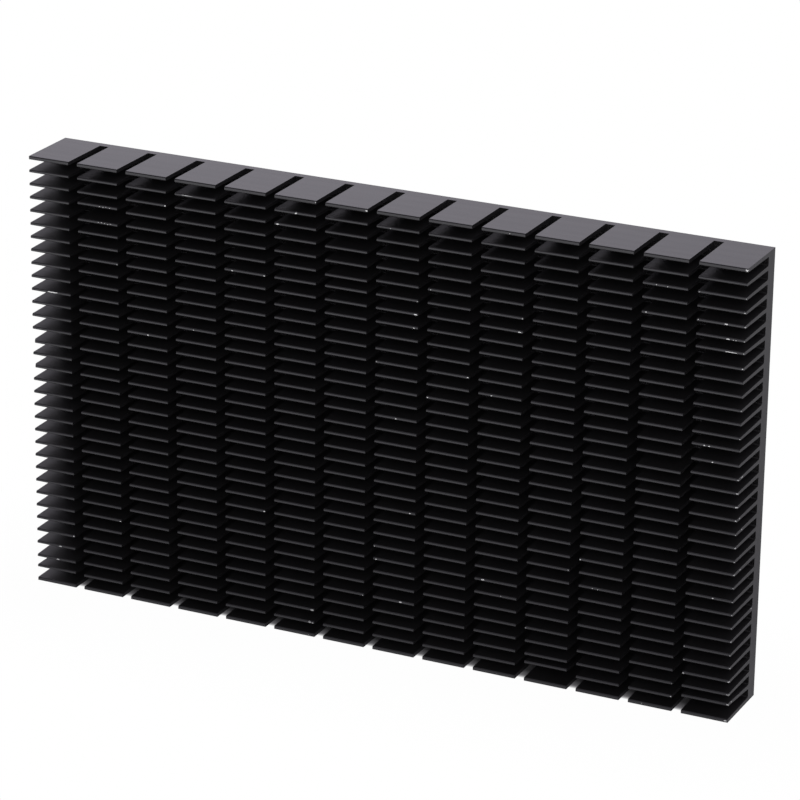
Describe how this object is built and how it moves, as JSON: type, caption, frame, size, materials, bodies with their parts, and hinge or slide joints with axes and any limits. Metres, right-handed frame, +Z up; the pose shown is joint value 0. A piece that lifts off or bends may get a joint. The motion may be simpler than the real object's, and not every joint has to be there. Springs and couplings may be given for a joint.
{
  "type": "heat sink",
  "caption": "Cross-cut finned heat sink: a black anodised aluminium extrusion with tapered fins sawn into short blocks and a flat back face that takes heat from what it is fixed to.",
  "frame": {"origin": "centre of the lower long edge face that the bar stands on, midway along its length and its depth", "axes": "+Z up across the fins, +X along the bar and its fins, +Y from the fin tips to the flat back face"},
  "size_m": [0.3, 0.0284, 0.1803],
  "materials": {
    "black_anodised": "satin black anodised",
    "bare_metal": "scuffed bare metal"
  },
  "bodies": {
    "root": {"heat_sink": "black_anodised"}
  },
  "joints": []
}
